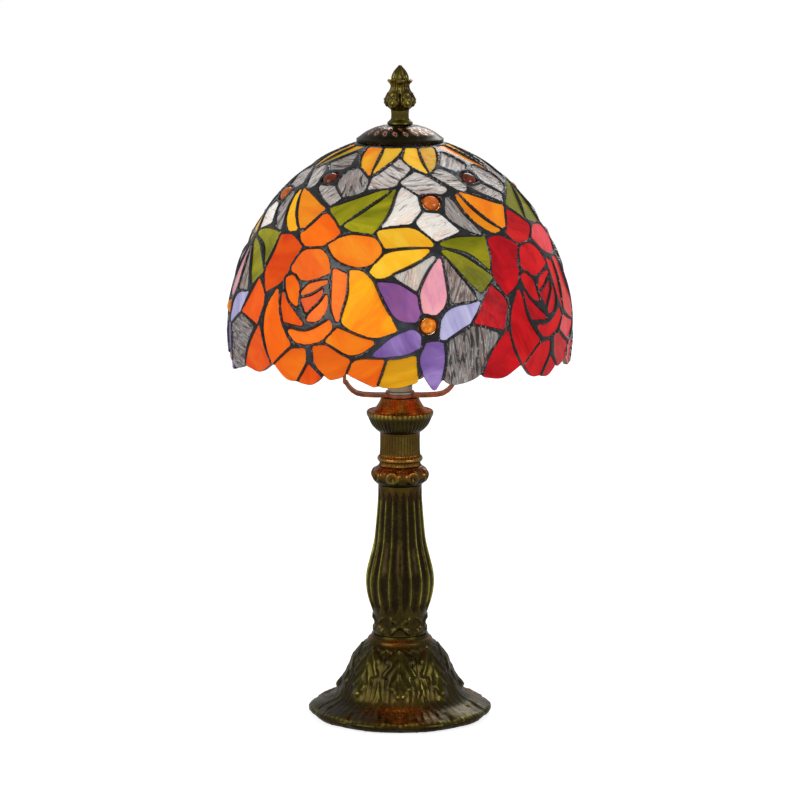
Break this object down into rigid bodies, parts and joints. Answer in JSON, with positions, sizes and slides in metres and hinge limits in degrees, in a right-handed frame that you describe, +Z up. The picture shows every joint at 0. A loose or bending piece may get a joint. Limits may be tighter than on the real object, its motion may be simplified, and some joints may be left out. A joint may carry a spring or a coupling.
{
  "type": "leaded glass table lamp",
  "caption": "Table lamp with a domed leaded-glass shade of roses and flowers, hung from a harp over a cast bronze stand, with a screw-in bulb and a finial.",
  "frame": {"origin": "middle of the felt pad's underside, on the table", "axes": "+Z up the lamp's axis, -Y towards the front, +X to the viewer's right"},
  "size_m": [0.2, 0.2, 0.3837],
  "materials": {
    "bronze": "antique bronze patina, semi-gloss",
    "dark_bronze": "dark patina, satin",
    "copper": "copper-coloured, satin",
    "brass": "plain brass",
    "steel": "zinc plated",
    "nickel": "nickel plated",
    "phenolic": "dark moulded plastic",
    "porcelain": "glazed white",
    "felt": "felt",
    "bulb_glass": "frosted warm white",
    "hot_wire": "tungsten",
    "amber_glass": "opalescent amber and orange art glass",
    "streaky_glass": "streaky white art glass",
    "orange_glass": "opalescent orange art glass",
    "red_glass": "opalescent red art glass",
    "violet_glass": "opalescent violet art glass",
    "jewel_glass": "cast amber glass, glossy"
  },
  "bodies": {
    "stand": {"foot_casting": "bronze", "column_casting": "bronze", "collar_casting": "bronze", "neck_casting": "bronze", "cup_casting": "bronze", "felt_pad": "felt", "base_plate": "steel", "threaded_pipe": "brass", "pipe_nut": "steel", "pipe_washer": "steel", "lock_washer": "steel", "outlet_bush": "phenolic", "harp": "copper", "harp_stud": "brass", "holder_cap": "phenolic", "holder_body": "phenolic", "holder_insulator": "porcelain", "screw_shell": "brass", "centre_contact": "brass", "terminal_screw_live": "brass", "terminal_screw_neutral": "brass", "seat_washer": "steel"},
    "shade": {"tulip_panel_1": "amber_glass", "tulip_panel_2": "amber_glass", "tulip_panel_3": "amber_glass", "tulip_panel_4": "amber_glass", "background_panel_1": "streaky_glass", "background_panel_2": "streaky_glass", "background_panel_3": "streaky_glass", "background_panel_4": "streaky_glass", "rose_panel_1": "orange_glass", "rose_panel_2": "red_glass", "rose_panel_3": "orange_glass", "rose_panel_4": "red_glass", "flower_panel_1": "violet_glass", "flower_panel_2": "violet_glass", "flower_panel_3": "violet_glass", "flower_panel_4": "violet_glass", "upper_jewel_1": "jewel_glass", "middle_jewel_1": "jewel_glass", "flower_jewel_1": "jewel_glass", "upper_jewel_2": "jewel_glass", "middle_jewel_2": "jewel_glass", "flower_jewel_2": "jewel_glass", "upper_jewel_3": "jewel_glass", "middle_jewel_3": "jewel_glass", "flower_jewel_3": "jewel_glass", "upper_jewel_4": "jewel_glass", "middle_jewel_4": "jewel_glass", "flower_jewel_4": "jewel_glass", "shade_cap": "dark_bronze", "shade_ring": "brass"},
    "finial_thread": {"finial_insert": "brass"},
    "finial": {"finial": "bronze"},
    "bulb_tip": {"bulb_contact": "nickel"},
    "bulb": {"bulb_screw_cap": "nickel", "bulb_glass": "bulb_glass", "bulb_stem": "bulb_glass", "bulb_filament": "hot_wire"}
  },
  "joints": [
    {"name": "shade_turn", "type": "hinge", "parent": "stand", "child": "shade", "pos_m": [0, 0, 0.3471], "axis": [0, 0, 1], "continuous": true},
    {"name": "finial_rise", "type": "slide", "parent": "stand", "child": "finial_thread", "axis": [0, 0, 1], "range_m": [0, 0.00282]},
    {"name": "finial_turn", "type": "hinge", "parent": "finial_thread", "child": "finial", "pos_m": [0, 0, 0.3489], "axis": [0, 0, 1], "range_deg": [0, 1086]},
    {"name": "bulb_rise", "type": "slide", "parent": "stand", "child": "bulb_tip", "axis": [0, 0, 1], "range_m": [0, 0.00726]},
    {"name": "bulb_turn", "type": "hinge", "parent": "bulb_tip", "child": "bulb", "pos_m": [0, 0, 0.2239], "axis": [0, 0, 1], "range_deg": [0, 726]}
  ],
  "couplings": [
    {"joint": "finial_turn", "follows": "finial_rise", "rad_per_m": 6684.2},
    {"joint": "bulb_turn", "follows": "bulb_rise", "rad_per_m": 1730.9}
  ]
}
